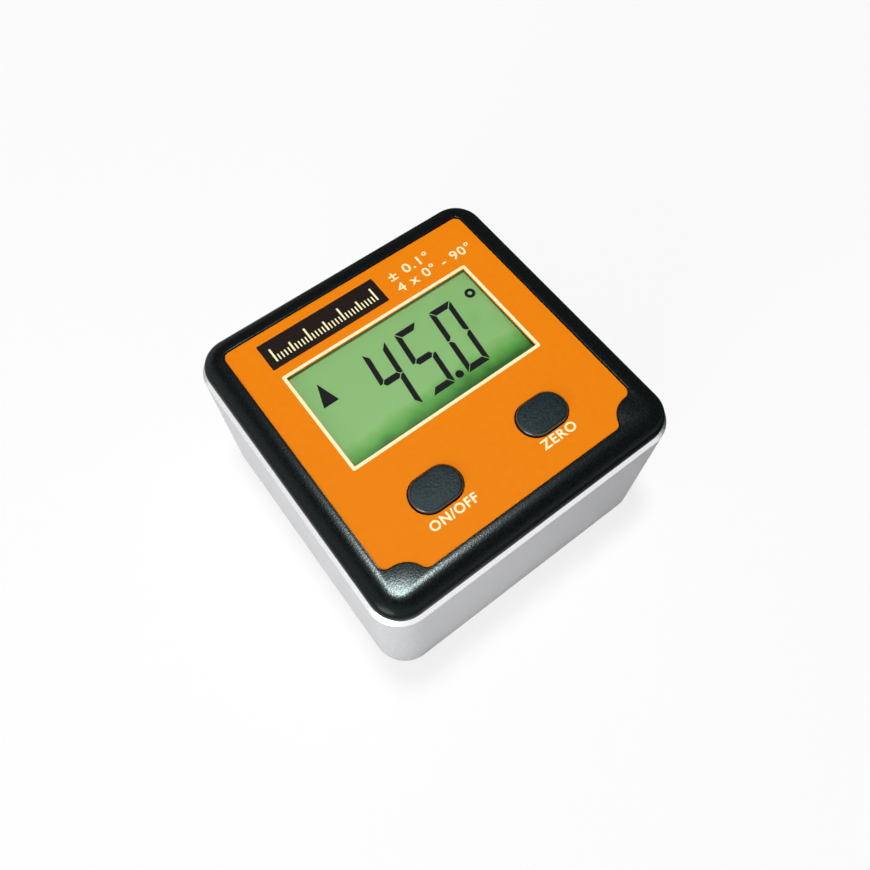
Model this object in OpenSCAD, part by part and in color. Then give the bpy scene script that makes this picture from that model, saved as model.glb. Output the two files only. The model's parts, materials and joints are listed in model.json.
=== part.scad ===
// Digital angle gauge: an aluminium frame, a moulded front with a display and two buttons, and a
// rear cover with the battery bay. It lies on its back: +Z out of the display, +Y to its top.

/* [Case] */
// Width of the aluminium frame
case_w = 60; // [54:0.5:90]
// Height of the aluminium frame, from the magnetic base to the top
case_h = 60; // [54:0.5:90]
// Depth of the frame from its back edge to the rim under the bezel
frame_depth = 30.3; // [29:0.1:45]
// Radius of the frame's upright outer corners
corner_r = 6; // [4:0.25:8]
// Thickness of the left, right and top walls
wall = 3.5; // [2.5:0.1:4.2]
// Thickness of the magnetic base wall
base_wall = 4.5; // [4:0.1:6]
// Radius of the frame's inner corners
inner_corner_r = 2.5; // [1.5:0.1:3]
// Bright chamfer round the front rim
rim_chamfer = 0.65; // [0.3:0.05:1]
// Chamfer round the back edge
back_chamfer = 0.4; // [0.2:0.05:1]

/* [Bezel] */
// Height of the bezel above the frame's rim
bezel_rise = 3.2; // [2.9:0.1:5]
// Radius of the bezel's edge at the side
bezel_edge_r = 2; // [1.5:0.05:2.3]
// Radius of the wider round between that edge and the flat top
bezel_crown_r = 4.5; // [3:0.1:4.7]
// Thickness of the bezel under the label
bezel_plate_t = 2; // [1.6:0.1:2.3]
// Depth of the skirt that plugs into the frame
skirt_depth = 2.6; // [1.5:0.1:5]
// Thickness of that skirt
skirt_t = 1.4; // [1:0.1:2]

/* [Label] */
// Width of the bezel's border round the label
label_margin = 4.7; // [4.6:0.1:6]
// How far the label's middle lies above the middle of the case
label_rise = 0.2; // [0:0.05:0.3]
// Thickness of the label
label_t = 0.3; // [0.2:0.05:0.45]
// Depth of the recess that holds the label
label_recess = 0.5; // [0.45:0.05:0.8]
// Radius of the label's corners and of the tips beside its lower notches
label_corner_r = 1.4; // [0.5:0.1:2.5]
// Radius of the bezel's lobe in each lower corner of the label
lobe_r = 4.32; // [3:0.02:5]
// How far the lobe's centre lies inside the label's side edge
lobe_inset = 1.4; // [0.5:0.1:2]
// How far the lobe's centre lies below the label's lower edge
lobe_drop = 0.8; // [0:0.1:1.5]

/* [Display] */
// Distance from the label's left and right edges to the clear window
window_side = 6.5; // [6.3:0.1:10]
// Distance from the label's top edge to the clear window
window_top = 10.3; // [7:0.1:14]
// Distance from the label's lower edge to the clear window
window_bottom = 20.2; // [19.8:0.1:24]
// How far the window plate reaches under the label on each side
lens_lap = 2.6; // [2.2:0.1:3.2]
// Thickness of the window plate
lens_t = 0.6; // [0.4:0.1:0.9]
// How far the glass reaches past the clear window at the left and right
lcd_side_lap = 1.2; // [0.8:0.1:1.3]
// How far the glass reaches past the clear window at the top and bottom
lcd_end_lap = 2.2; // [1.8:0.1:2.3]
// Thickness of each of the two glass sheets
lcd_sheet_t = 1; // [0.7:0.1:1.1]
// Width of the contact ledges along the front sheet
contact_ledge = 2.6; // [2.4:0.1:3.2]
// Width of the conductive rubber strips
zebra_w = 2; // [1.5:0.1:2.1]
// How far the conductive rubber strips stop short of the glass's ends
zebra_end = 2; // [1.5:0.1:6]
// Thickness of the reflector film
reflector_t = 0.25; // [0.1:0.05:0.4]
// Height of the retainer between the board and the reflector
retainer_h = 3.15; // [2.9:0.05:4]

/* [Buttons] */
// Width of a button
button_w = 9.2; // [7:0.1:11]
// Height of a button
button_h = 6.4; // [6.3:0.1:7.2]
// Distance of each button's centre from the label's nearer side edge
button_side = 14.4; // [12.3:0.1:16.8]
// Distance of the buttons' centres from the label's lower edge
button_rise = 9.4; // [9:0.1:10]
// Radius of a button's round ends
button_r = 3.1; // [2.2:0.05:3.15]
// How far a button stands above the label
button_proud = 0.6; // [0.5:0.05:1.5]
// Radius of a button's rounded top edge
button_edge_r = 0.5; // [0.2:0.05:0.8]
// How far a button's flange reaches past its hole
flange_lap = 1; // [0.6:0.1:1.2]
// Thickness of a button's flange
flange_t = 0.8; // [0.6:0.05:1]
// Travel of a button
button_travel = 0.5; // [0.2:0.05:0.6]
// Diameter of the stem under a button
stem_d = 4; // [3:0.1:5]
// Width of a switch's square base
switch_w = 6; // [5.5:0.1:7]
// Height of a switch's base above the board
switch_h = 2; // [1.8:0.05:2.1]
// Diameter of a switch's plunger
plunger_d = 3.5; // [2.5:0.1:4]
// How far a plunger stands above its base
plunger_proud = 0.7; // [0.65:0.05:0.8]

/* [Board] */
// Thickness of the circuit board
board_t = 1.6; // [0.8:0.1:2]
// Gap between the board and the skirt round it
board_gap = 0.25; // [0.15:0.05:0.5]
// Diameter of a board screw's thread
board_screw_d = 1.8; // [1.4:0.1:2]
// Diameter of the posts that the board screws go into
board_post_d = 3.8; // [3:0.1:4]
// How far a board screw goes into its post
board_screw_grip = 3; // [2:0.1:3.4]
// Distance of the board screws from the level of the display's middle
board_screw_y = 7; // [5:0.5:9]
// Width of the controller chip
chip_w = 10; // [7:0.5:12]

/* [Rear cover] */
// Thickness of the rear cover
cover_t = 2; // [1.8:0.1:3]
// How far the rear cover lies inside the frame's back edge
cover_inset = 0.2; // [0.1:0.05:0.5]
// Width of the ledge in the frame that the rear cover rests on
ledge_w = 1.5; // [1:0.1:1.8]
// Diameter of the corner posts that the case screws go through
boss_d = 6.4; // [5.6:0.1:6.8]
// Gap between a corner post and the frame's walls
boss_gap = 0.6; // [0.4:0.05:1]
// Level at which the cover's posts meet the bezel's posts
split_z = 12; // [9:0.5:16]
// Diameter of a case screw's thread
case_screw_d = 2.6; // [2:0.1:3]
// Length of a case screw under its head
case_screw_l = 16; // [13:0.5:20]

/* [Battery] */
// Diameter of a cell
cell_d = 10.5; // [8.2:0.1:11]
// Room between the battery bay and the frame's left and right walls
bay_room = 1.5; // [1.3:0.1:4]
// Play round a cell in the bay
cell_gap = 0.3; // [0.2:0.05:0.5]
// Thickness of the bay's walls
bay_wall = 1.2; // [0.8:0.1:1.3]
// Thickness of the battery cover
door_t = 1.2; // [1:0.05:1.5]
// How far the battery cover reaches past the bay on each side
door_lap = 1; // [0.6:0.1:1.1]
// Thickness of the contact plates
contact_t = 0.4; // [0.2:0.05:0.5]
// Bow of the spring contacts
spring_bow = 2.3; // [1.5:0.1:2.5]
// Diameter of the battery leads
lead_d = 1.2; // [0.8:0.1:1.4]

/* [Magnets] */
// Diameter of a base magnet
magnet_d = 10; // [6:0.1:10.4]
// Thickness of a base magnet
magnet_t = 3.2; // [2:0.1:3.4]

/* [Fits] */
// Gap round pieces that plug into or lie in one another
fit_gap = 0.15; // [0.05:0.01:0.25]
// Gap round the moving buttons
button_gap = 0.2; // [0.15:0.05:0.4]
// Gap round the buttons in the label
label_gap = 0.2; // [0.15:0.05:0.6]
// Gap round a screw in its hole
screw_gap = 0.1; // [0.05:0.01:0.2]

/* [Hidden] */
$fn = 64;
cut = 1;

// Levels, from the face down to the board
face_z = frame_depth + bezel_rise;
label_z = face_z - label_recess;
lens_z = label_z - lens_t;
lcd_front_z = lens_z - lcd_sheet_t;
lcd_rear_z = lcd_front_z - lcd_sheet_t;
reflector_z = lcd_rear_z - reflector_t;
board_top = reflector_z - retainer_h;
board_z = board_top - board_t;
plate_z = label_z - bezel_plate_t;

// The frame's cavity
cavity_w = case_w - 2 * wall;
cavity_h = case_h - wall - base_wall;
cavity_y = (base_wall - wall) / 2;

// The bezel
foot_w = case_w - 2 * rim_chamfer;
foot_h = case_h - 2 * rim_chamfer;
foot_r = corner_r - rim_chamfer;
meet_dir = [3, 4] / norm([3, 4]);
side_x = foot_r - bezel_edge_r;
side_z = bezel_rise - bezel_crown_r + (bezel_crown_r - bezel_edge_r) * meet_dir[1];
crown_x = side_x - (bezel_crown_r - bezel_edge_r) * meet_dir[0];
crown_z = bezel_rise - bezel_crown_r;
meet_x = side_x + bezel_edge_r * meet_dir[0];
meet_z = side_z + bezel_edge_r * meet_dir[1];
skirt_w = cavity_w - 2 * fit_gap;
skirt_h = cavity_h - 2 * fit_gap;
skirt_r = inner_corner_r - fit_gap;

// The label and the display
label_w = case_w - 2 * label_margin;
label_h = case_h - 2 * label_margin;
lobe_x = label_w / 2 - lobe_inset;
lobe_y = -label_h / 2 - lobe_drop;
tip_reach = lobe_r + label_corner_r;
tip_inset = label_corner_r - lobe_inset;
tip_rise = label_corner_r + lobe_drop;
side_tip = [lobe_x - tip_inset, lobe_y + sqrt(tip_reach * tip_reach - tip_inset * tip_inset)];
low_tip = [lobe_x - sqrt(tip_reach * tip_reach - tip_rise * tip_rise), lobe_y + tip_rise];
clear_w = label_w - 2 * window_side;
clear_h = label_h - window_top - window_bottom;
window_y = label_rise + (window_bottom - window_top) / 2;
window_r = 0.2;
lens_w = clear_w + 2 * lens_lap;
lens_h = clear_h + 2 * lens_lap;
lens_r = 1.5;
lcd_w = clear_w + 2 * lcd_side_lap;
lcd_h = clear_h + 2 * lcd_end_lap;
lcd_rear_h = lcd_h - 2 * contact_ledge;
zebra_l = lcd_w - 2 * zebra_end;
zebra_y = lcd_h / 2 - contact_ledge / 2;
retainer_wall = 1;
retainer_lip = 2.5;

// The buttons and switches
button_x = label_w / 2 - button_side;
button_y = label_rise - label_h / 2 + button_rise;
button_top = label_z + label_t + button_proud;
flange_z = plate_z - flange_t;
plunger_top = board_top + switch_h + plunger_proud;
plunger_slack = 0.2;
plunger_l = plunger_proud + switch_h / 2 - plunger_slack;
leg_w = 0.7;
leg_l = 1.2;
leg_t = 0.3;

// The board and what it carries
board_w = skirt_w - 2 * skirt_t - 2 * board_gap;
board_h = skirt_h - 2 * skirt_t - 2 * board_gap;
post_x = board_w / 2 - board_post_d / 2 - board_gap;
board_head_d = 1.75 * board_screw_d;
board_head_h = 0.7 * board_screw_d;
board_screw_l = board_t + board_screw_grip;
chip_t = 1.5;
chip_off = 0.1;
pins_per_side = 8;
pin_pitch = chip_w / (pins_per_side + 2);
pin_w = 0.4;
pin_l = 1;
pin_t = 0.3;
chip_pos = [-board_w / 7, board_h / 6];
sensor_pos = [board_w / 6, -board_h / 12];
sensor_w = 5;
sensor_t = 1.2;
lid_t = 0.4;
lid_step = 0.3;
crystal_pos = [board_w / 6, board_h / 6];
crystal_w = 11;
crystal_h = 4.6;
crystal_t = 3.4;
crystal_base_t = 0.5;
capacitor_size = [1.25, 2, 1.1];
capacitor_row = -board_h / 12;
capacitor_x = [-board_w / 4, -board_w / 6, -board_w / 12, board_w / 24];

// The rear cover and its screws
cover_top = cover_inset + cover_t;
cover_w = cavity_w + 2 * ledge_w - 2 * fit_gap;
cover_h = cavity_h + 2 * ledge_w - 2 * fit_gap;
cover_r = inner_corner_r + ledge_w - fit_gap;
boss_x = cavity_w / 2 - boss_gap - boss_d / 2;
boss_y = cavity_h / 2 - boss_gap - boss_d / 2;
case_head_d = 1.8 * case_screw_d;
case_head_h = 0.65 * case_screw_d;
head_sink = 0.6;
seat_z = cover_inset + head_sink + case_head_h;
tip_room = 1;

// The battery bay
cell_pitch = cell_d + 2 * cell_gap;
bay_l = cavity_w - 2 * bay_room - 2 * bay_wall;
cell_l = bay_l - 2 * contact_t - spring_bow;
bay_h = 2 * cell_pitch;
bay_y = cavity_y;
door_z = cover_inset + door_t;
cell_z = door_z + cell_gap + cell_d / 2;
roof_z = cell_z + cell_d / 2 + cell_gap;
bay_top = roof_z + bay_wall;
nub_d = 3.8;
nub_l = 0.8;
door_w = bay_l + 2 * door_lap;
door_h = bay_h + 2 * door_lap;
door_r = 1;
ear_w = 9;
ear_l = 5.5;
ear_y = door_h / 2 + ear_l / 2;
door_screw_d = 2;
door_screw_l = 7;
door_head_d = 1.9 * door_screw_d;
door_head_h = 0.95;
door_boss_d = 4.8;
hook_x = 15;
hook_w = 7;
hook_t = 0.9;
hook_riser = 1;
hook_gap = 0.15;
contact_w = 9;
contact_bottom = door_z + cell_d / 6;
contact_top = roof_z - cell_gap;
contact_h = contact_top - contact_bottom;
tab_w = 3;
tab_rise = 2;
tab_top = bay_top + tab_rise;
leaf_w = 5;
leaf_chord = 8;
leaf_r = (leaf_chord * leaf_chord / 4 + spring_bow * spring_bow) / (2 * spring_bow);
touch_gap = 0.05;

// The magnets
magnet_count = 4;
magnet_pitch = case_w / (magnet_count + 1);
magnet_z = frame_depth / 2;

// A block with round upright corners. The child is the edge's profile, from the corner's axis outward.
module edge_block(w, d, r, h) {
    for (q = [0:3]) {
        along = q % 2 == 0 ? w : d;
        across = q % 2 == 0 ? d : w;
        rotate(90 * q)
            translate([along / 2 - r, across / 2 - r, 0])
                rotate_extrude(angle = 90) children();
        rotate(90 * q)
            translate([along / 2 - r, 0, 0])
                rotate([90, 0, 0])
                    linear_extrude(across - 2 * r, center = true) children();
    }
    translate([-(w / 2 - r), -(d / 2 - r), 0])
        cube([w - 2 * r, d - 2 * r, h]);
}

module rounded_square(w, d, r) {
    square([w - 2 * r, d], center = true);
    square([w, d - 2 * r], center = true);
    for (x = [-1, 1], y = [-1, 1])
        translate([x * (w / 2 - r), y * (d / 2 - r)])
            circle(r);
}

// A plate centred on the Z axis that starts at level z
module plate(w, d, z, t, r = 0) {
    translate([0, 0, z])
        linear_extrude(t)
            if (r > 0)
                rounded_square(w, d, r);
            else
                square([w, d], center = true);
}

// Profile of the bezel's edge: an upright foot, a tight round at the side and a wide one above it
module pillow_edge() {
    polygon([
        [0, 0],
        [foot_r, 0],
        [foot_r, side_z],
        [meet_x, meet_z],
        [crown_x, bezel_rise],
        [0, bezel_rise]
    ]);
    intersection() {
        translate([side_x, side_z])
            circle(bezel_edge_r);
        polygon([[foot_r, side_z], [foot_r, bezel_rise], [meet_x, bezel_rise], [meet_x, meet_z]]);
    }
    intersection() {
        translate([crown_x, crown_z])
            circle(bezel_crown_r);
        polygon([[meet_x, meet_z], [meet_x, bezel_rise], [crown_x, bezel_rise]]);
    }
}

// Profile of an upright edge of width r that ends in a full round of radius f
module round_edge(r, h, f) {
    square([r, h - f]);
    square([r - f, h]);
    translate([r - f, h - f])
        intersection() {
            circle(f);
            square(f);
        }
}

module at_bosses() {
    for (x = [-1, 1], y = [-1, 1])
        translate([x * boss_x, cavity_y + y * boss_y, 0])
            children();
}

module at_board_posts() {
    for (x = [-1, 1], y = [-1, 1])
        translate([x * post_x, window_y + y * board_screw_y, 0])
            children();
}

module at_buttons() {
    for (x = [-1, 1])
        translate([x * button_x, button_y, 0])
            children();
}

module at_hooks() {
    for (x = [-1, 1])
        translate([x * hook_x, bay_y - bay_h / 2, 0])
            children();
}

// A pan-head screw that points up, with the underside of its head at level 0
module pan_screw(d, head_d, head_h, l) {
    slot_w = head_d / 6;
    slot_l = head_d * 0.6;
    difference() {
        translate([0, 0, -head_h])
            cylinder(d = head_d, h = head_h);
        for (a = [0, 90])
            rotate(a)
                translate([-slot_l / 2, -slot_w / 2, -head_h - cut])
                    cube([slot_l, slot_w, head_h / 2 + cut]);
    }
    cylinder(d = d, h = l);
}

// Edge of the frame: a chamfer at the back and a wider one at the front rim
module frame_edge() {
    polygon([
        [0, 0],
        [corner_r - back_chamfer, 0],
        [corner_r, back_chamfer],
        [corner_r, frame_depth - rim_chamfer],
        [corner_r - rim_chamfer, frame_depth],
        [0, frame_depth]
    ]);
}

// The label's outline, grown by a gap. In each lower corner two round tips run into a notch for the lobe.
module label_outline(gap) {
    difference() {
        rounded_square(label_w + 2 * gap, label_h + 2 * gap, label_corner_r + gap);
        translate([-label_w, side_tip[1] - label_h])
            square([2 * label_w, label_h]);
    }
    translate([-low_tip[0], -label_h / 2 - gap])
        square([2 * low_tip[0], label_corner_r + gap]);
    for (x = [-1, 1], tip = [side_tip, low_tip])
        translate([x * tip[0], tip[1]])
            circle(label_corner_r + gap);
    difference() {
        polygon([
            [side_tip[0], side_tip[1]],
            [-side_tip[0], side_tip[1]],
            [-lobe_x, lobe_y],
            [-low_tip[0], low_tip[1]],
            [low_tip[0], low_tip[1]],
            [lobe_x, lobe_y]
        ]);
        for (x = [-1, 1])
            translate([x * lobe_x, lobe_y])
                circle(lobe_r - gap);
    }
}

module magnet_place(i) {
    translate([
        (i - (magnet_count + 1) / 2) * magnet_pitch,
        -case_h / 2 + base_wall,
        magnet_z
    ])
        rotate([90, 0, 0])
            children();
}

module body_frame() {
    color("silver")
        difference() {
            edge_block(case_w, case_h, corner_r, frame_depth)
                frame_edge();
            translate([0, cavity_y, 0]) {
                plate(cavity_w, cavity_h, -cut, frame_depth + 2 * cut, inner_corner_r);
                plate(cavity_w + 2 * ledge_w, cavity_h + 2 * ledge_w, -cut, cover_top + cut,
                    inner_corner_r + ledge_w);
            }
            for (i = [1:magnet_count])
                magnet_place(i)
                    translate([0, 0, -cut])
                        cylinder(d = magnet_d + 2 * screw_gap, h = magnet_t + cut);
        }
}

// The bezel's moulded top: rounded edge, label recess, window seat and button holes
module bezel_shell() {
    difference() {
        translate([0, 0, frame_depth])
            edge_block(foot_w, foot_h, foot_r, bezel_rise)
                pillow_edge();
        translate([0, cavity_y, 0])
            plate(skirt_w - 2 * skirt_t, skirt_h - 2 * skirt_t, frame_depth - cut,
                plate_z - frame_depth + cut);
        translate([0, label_rise, label_z])
            linear_extrude(label_recess + cut)
                label_outline(fit_gap);
        translate([0, window_y, 0]) {
            plate(lens_w + 2 * fit_gap, lens_h + 2 * fit_gap, lens_z, lens_t + cut, lens_r);
            plate(lcd_w + 2 * fit_gap, lcd_h + 2 * fit_gap, plate_z - cut, bezel_plate_t + cut);
        }
        at_buttons()
            plate(button_w + 2 * button_gap, button_h + 2 * button_gap, plate_z - cut,
                bezel_plate_t + 2 * cut, button_r + button_gap);
    }
}

module front_bezel() {
    color([0.08, 0.1, 0.1])
        difference() {
            union() {
                bezel_shell();
                translate([0, cavity_y, frame_depth - skirt_depth])
                    linear_extrude(skirt_depth)
                        difference() {
                            rounded_square(skirt_w, skirt_h, skirt_r);
                            square([skirt_w - 2 * skirt_t, skirt_h - 2 * skirt_t], center = true);
                        }
                at_bosses()
                    translate([0, 0, split_z])
                        cylinder(d = boss_d, h = plate_z - split_z);
                at_board_posts()
                    translate([0, 0, board_top])
                        cylinder(d = board_post_d, h = plate_z - board_top);
            }
            at_bosses()
                translate([0, 0, split_z - cut])
                    cylinder(d = case_screw_d + 2 * screw_gap,
                        h = seat_z + case_screw_l + tip_room - split_z + cut);
            at_board_posts()
                translate([0, 0, board_top - cut])
                    cylinder(d = board_screw_d + 2 * screw_gap,
                        h = board_screw_l - board_t + tip_room / 2 + cut);
        }
}

module face_label() {
    color("darkorange")
        translate([0, 0, label_z])
            linear_extrude(label_t)
                difference() {
                    translate([0, label_rise])
                        label_outline(0);
                    translate([0, window_y])
                        rounded_square(clear_w, clear_h, window_r);
                    at_buttons()
                        rounded_square(button_w + 2 * label_gap, button_h + 2 * label_gap,
                            button_r + label_gap);
                }
}

module display_window() {
    color("white", 0.4)
        translate([0, window_y, 0])
            plate(lens_w, lens_h, lens_z, lens_t, lens_r - fit_gap);
}

module lcd_glass() {
    color("darkseagreen")
        translate([0, window_y, 0]) {
            plate(lcd_w, lcd_h, lcd_front_z, lcd_sheet_t);
            plate(lcd_w, lcd_rear_h, lcd_rear_z, lcd_sheet_t);
        }
}

module lcd_reflector() {
    color("gainsboro")
        translate([0, window_y, 0])
            plate(lcd_w - 2 * fit_gap, lcd_rear_h - 2 * fit_gap, reflector_z, reflector_t);
}

module lcd_retainer() {
    color("whitesmoke")
        translate([0, window_y, 0])
            difference() {
                plate(lcd_w, lcd_h + 2 * retainer_wall, board_top, retainer_h);
                plate(lcd_w - 2 * retainer_lip, lcd_rear_h - 2 * retainer_lip, board_top - cut,
                    retainer_h + 2 * cut);
                for (y = [-1, 1])
                    translate([0, y * zebra_y, 0])
                        plate(zebra_l + 2 * fit_gap, zebra_w + 2 * fit_gap, board_top - cut,
                            retainer_h + 2 * cut);
            }
}

// Conductive rubber strip on one side of the display, side 1 above and -1 below
module zebra_strip(side) {
    color("dimgray")
        translate([0, window_y + side * zebra_y, 0])
            plate(zebra_l, zebra_w, board_top, lcd_front_z - board_top);
}

module main_board() {
    notch = boss_d + 2 * board_gap;
    color("seagreen")
        translate([0, 0, board_z])
            linear_extrude(board_t)
                difference() {
                    translate([0, cavity_y])
                        square([board_w, board_h], center = true);
                    for (x = [-1, 1], y = [-1, 1])
                        translate([x * (boss_x + notch / 2), cavity_y + y * (boss_y + notch / 2)])
                            square(2 * notch, center = true);
                    at_board_posts()
                        circle(d = board_screw_d + 2 * screw_gap);
                }
}

// Flat chip package with a row of leads on each side
module controller_chip() {
    color([0.15, 0.15, 0.17])
        translate([chip_pos[0], chip_pos[1], 0]) {
            plate(chip_w, chip_w, board_z - chip_t, chip_t - chip_off);
            for (side = [0:3], i = [0:pins_per_side - 1])
                rotate(90 * side)
                    translate([chip_w / 2, (i - (pins_per_side - 1) / 2) * pin_pitch, 0])
                        plate(2 * pin_l, pin_w, board_z - pin_t, pin_t);
        }
}

module tilt_sensor() {
    color("lightgray")
        translate([sensor_pos[0], sensor_pos[1], 0]) {
            plate(sensor_w, sensor_w, board_z - sensor_t, sensor_t);
            plate(sensor_w - 2 * lid_step, sensor_w - 2 * lid_step, board_z - sensor_t - lid_t, lid_t);
        }
}

module clock_crystal() {
    color("silver")
        translate([crystal_pos[0], crystal_pos[1], 0]) {
            plate(crystal_w, crystal_h, board_z - crystal_base_t, crystal_base_t);
            plate(crystal_w - 2 * lid_step, crystal_h - 2 * lid_step, board_z - crystal_t,
                crystal_t - crystal_base_t, (crystal_h - 2 * lid_step) / 2 - lid_step);
        }
}

module board_capacitors() {
    color("tan")
        for (x = capacitor_x)
            translate([x, capacitor_row, 0])
                plate(capacitor_size[0], capacitor_size[1], board_z - capacitor_size[2], capacitor_size[2]);
}

// Button with a rounded top edge, a flange under the bezel and a stem on the switch
module button(side) {
    cap_h = button_top - plate_z;
    grow = button_gap + flange_lap;
    color([0.2, 0.26, 0.28])
        translate([side * button_x, button_y, 0]) {
            translate([0, 0, plate_z])
                edge_block(button_w, button_h, button_r, cap_h)
                    round_edge(button_r, cap_h, button_edge_r);
            plate(button_w + 2 * grow, button_h + 2 * grow, flange_z, flange_t, button_r + grow);
            translate([0, 0, plunger_top])
                cylinder(d = stem_d, h = flange_z - plunger_top);
        }
}

module switch_base(side) {
    color("dimgray")
        translate([side * button_x, button_y, 0]) {
            difference() {
                plate(switch_w, switch_w, board_top, switch_h);
                translate([0, 0, board_top + switch_h / 2 - button_travel])
                    cylinder(d = plunger_d + 2 * button_gap, h = switch_h);
            }
            for (x = [-1, 1], y = [-1, 1])
                translate([x * switch_w / 2, y * switch_w / 3, 0])
                    plate(2 * leg_l, leg_w, board_top, leg_t);
        }
}

module switch_plunger(side) {
    color("black")
        translate([side * button_x, button_y, plunger_top - plunger_l])
            cylinder(d = plunger_d, h = plunger_l);
}

module board_screws() {
    color("lightgray")
        at_board_posts()
            translate([0, 0, board_z])
                pan_screw(board_screw_d, board_head_d, board_head_h, board_screw_l);
}

// Outline of the battery cover with its screw ear
module door_outline(gap) {
    translate([0, bay_y]) {
        rounded_square(door_w + 2 * gap, door_h + 2 * gap, door_r);
        translate([0, ear_y - door_r])
            square([ear_w + 2 * gap, ear_l + 2 * door_r + 2 * gap], center = true);
    }
}

module at_door_screw() {
    translate([0, bay_y + ear_y, 0])
        children();
}

module rear_cover() {
    color([0.1, 0.11, 0.12])
        difference() {
            union() {
                translate([0, cavity_y, 0])
                    plate(cover_w, cover_h, cover_inset, cover_t, cover_r);
                translate([0, bay_y, 0])
                    plate(bay_l + 2 * bay_wall, bay_h + 2 * bay_wall, cover_inset, bay_top - cover_inset);
                at_bosses()
                    translate([0, 0, cover_inset])
                        cylinder(d = boss_d, h = split_z - cover_inset);
                at_door_screw()
                    translate([0, 0, cover_inset])
                        cylinder(d = door_boss_d, h = door_screw_l + tip_room + cover_t);
            }
            translate([0, bay_y, 0])
                plate(bay_l, bay_h, -cut, roof_z + cut);
            translate([0, 0, -cut])
                linear_extrude(door_z + cut)
                    door_outline(fit_gap);
            at_bosses() {
                translate([0, 0, -cut])
                    cylinder(d = case_head_d + 4 * screw_gap, h = seat_z + cut);
                cylinder(d = case_screw_d + 2 * screw_gap, h = split_z + cut);
            }
            at_door_screw()
                cylinder(d = door_screw_d + 2 * screw_gap, h = cover_inset + door_screw_l + tip_room);
            for (y = [-1, 1])
                translate([bay_l / 2 - contact_t - fit_gap, bay_y + y * cell_pitch / 2, roof_z - cut])
                    translate([0, -tab_w / 2 - fit_gap, 0])
                        cube([contact_t + fit_gap, tab_w + 2 * fit_gap, bay_wall + 2 * cut]);
            at_hooks()
                translate([-hook_w / 2 - hook_gap, -bay_wall - cut, cover_top + hook_gap])
                    cube([hook_w + 2 * hook_gap, bay_wall + 2 * cut, hook_t + 2 * hook_gap]);
        }
}

module case_screws() {
    color("gray")
        at_bosses()
            translate([0, 0, seat_z])
                pan_screw(case_screw_d, case_head_d, case_head_h, case_screw_l);
}

// Battery cover: a flush plate with a screw ear and two hooks that catch in the bay's wall
module battery_cover() {
    hook_z = cover_top + 2 * hook_gap;
    color([0.12, 0.13, 0.14])
        difference() {
            union() {
                translate([0, 0, cover_inset])
                    linear_extrude(door_t)
                        door_outline(0);
                at_hooks() {
                    translate([-hook_w / 2, hook_gap, cover_inset])
                        cube([hook_w, hook_riser, hook_z + hook_t - cover_inset]);
                    translate([-hook_w / 2, -bay_wall, hook_z])
                        cube([hook_w, bay_wall + hook_gap + hook_riser, hook_t]);
                }
            }
            at_door_screw() {
                cylinder(d = door_screw_d + 2 * screw_gap, h = door_z + cut);
                translate([0, 0, cover_inset])
                    cylinder(d1 = door_head_d + 2 * screw_gap, d2 = door_screw_d + 2 * screw_gap,
                        h = door_head_h);
            }
        }
}

module battery_cover_screw() {
    slot_l = door_head_d * 0.6;
    slot_w = door_head_d / 6;
    color("gray")
        at_door_screw()
            translate([0, 0, cover_inset]) {
                difference() {
                    cylinder(d1 = door_head_d, d2 = door_screw_d, h = door_head_h);
                    for (a = [0, 90])
                        rotate(a)
                            translate([-slot_l / 2, -slot_w / 2, -cut])
                                cube([slot_l, slot_w, door_head_h / 2 + cut]);
                }
                translate([0, 0, door_head_h])
                    cylinder(d = door_screw_d, h = door_screw_l - door_head_h);
            }
}

// Cell with its terminal towards the given side: 1 is right and in the upper place, -1 the reverse
module battery_cell(side) {
    color("steelblue")
        translate([side * (bay_l / 2 - contact_t), bay_y + side * cell_pitch / 2, cell_z])
            rotate([0, -90 * side, 0]) {
                cylinder(d = nub_d, h = nub_l);
                translate([0, 0, nub_l])
                    cylinder(d = cell_d, h = cell_l - nub_l);
            }
}

// Contact plate against an end wall of the bay, end 1 right and -1 left
module contact_plate(end, y, w) {
    translate([end * (bay_l - contact_t) / 2, bay_y + y, 0])
        plate(contact_t, w, contact_bottom, contact_h);
}

module contact_tab(y) {
    translate([(bay_l - contact_t) / 2, bay_y + y, 0])
        plate(contact_t, tab_w, contact_top - contact_t, tab_top - contact_top + contact_t);
}

// Bowed leaf that presses on a cell's flat end
module contact_leaf(end, y) {
    bow = spring_bow - touch_gap;
    translate([end * (bay_l / 2 - contact_t), bay_y + y + leaf_w / 2, cell_z])
        rotate([90, 0, 0])
            linear_extrude(leaf_w)
                intersection() {
                    translate([end * (leaf_r - bow), 0])
                        difference() {
                            circle(leaf_r);
                            circle(leaf_r - contact_t);
                        }
                    translate([end * (contact_t / 2 - leaf_r), 0])
                        square([2 * leaf_r, 2 * leaf_r], center = true);
                }
}

module battery_contact_positive() {
    color("gold") {
        contact_plate(1, cell_pitch / 2, contact_w);
        contact_tab(cell_pitch / 2);
    }
}

module battery_contact_negative() {
    color("silver") {
        contact_plate(1, -cell_pitch / 2, contact_w);
        contact_tab(-cell_pitch / 2);
        contact_leaf(1, -cell_pitch / 2);
    }
}

module battery_bridge() {
    color("silver") {
        contact_plate(-1, 0, cell_pitch + contact_w);
        contact_leaf(-1, cell_pitch / 2);
    }
}

// Lead from a contact's tab up to the board, side 1 positive and -1 negative
module battery_lead(side) {
    color(side > 0 ? "red" : "black")
        translate([(bay_l - contact_t) / 2, bay_y + side * cell_pitch / 2, tab_top])
            cylinder(d = lead_d, h = board_z - tab_top);
}

module base_magnet(i) {
    color("lightsteelblue")
        magnet_place(i)
            cylinder(d = magnet_d, h = magnet_t);
}

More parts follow.
